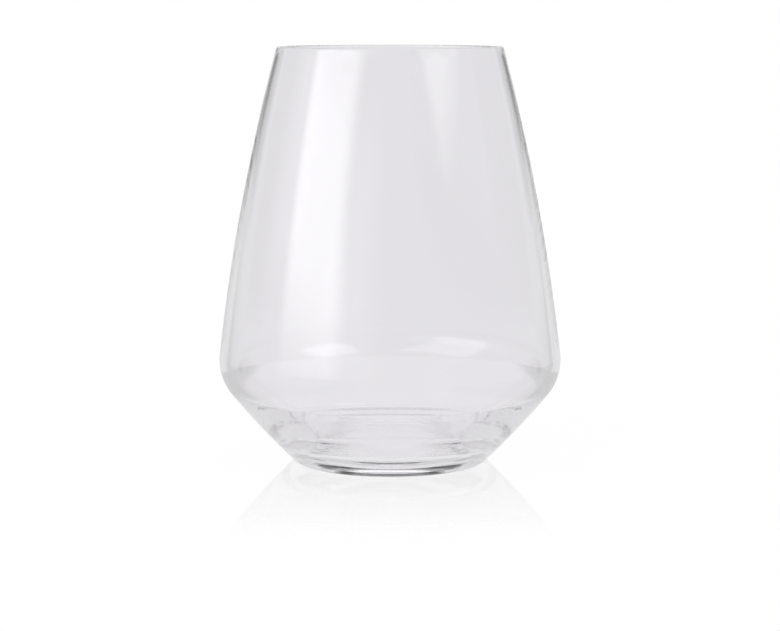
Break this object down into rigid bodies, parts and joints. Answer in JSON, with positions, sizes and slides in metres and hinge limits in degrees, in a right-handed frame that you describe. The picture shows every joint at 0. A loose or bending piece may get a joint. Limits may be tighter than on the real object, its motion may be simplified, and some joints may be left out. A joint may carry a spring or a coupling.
{
  "type": "stemless wine glass",
  "caption": "Clear stemless wine glass: a rounded blown bowl that narrows to an open rim and stands on its own thick flat foot.",
  "frame": {"origin": "centre of the standing ring, on the plane that the glass stands on", "axes": "+Z along the glass's axis, up out of the mouth; the glass is a turned shape, so X and Y are any two level directions"},
  "size_m": [0.096, 0.096, 0.116],
  "materials": {
    "clear_glass": "clear colourless soda-lime glass, blown in a mould, with a fire-polished rim"
  },
  "bodies": {
    "root": {"glass_bowl": "clear_glass"}
  },
  "joints": []
}
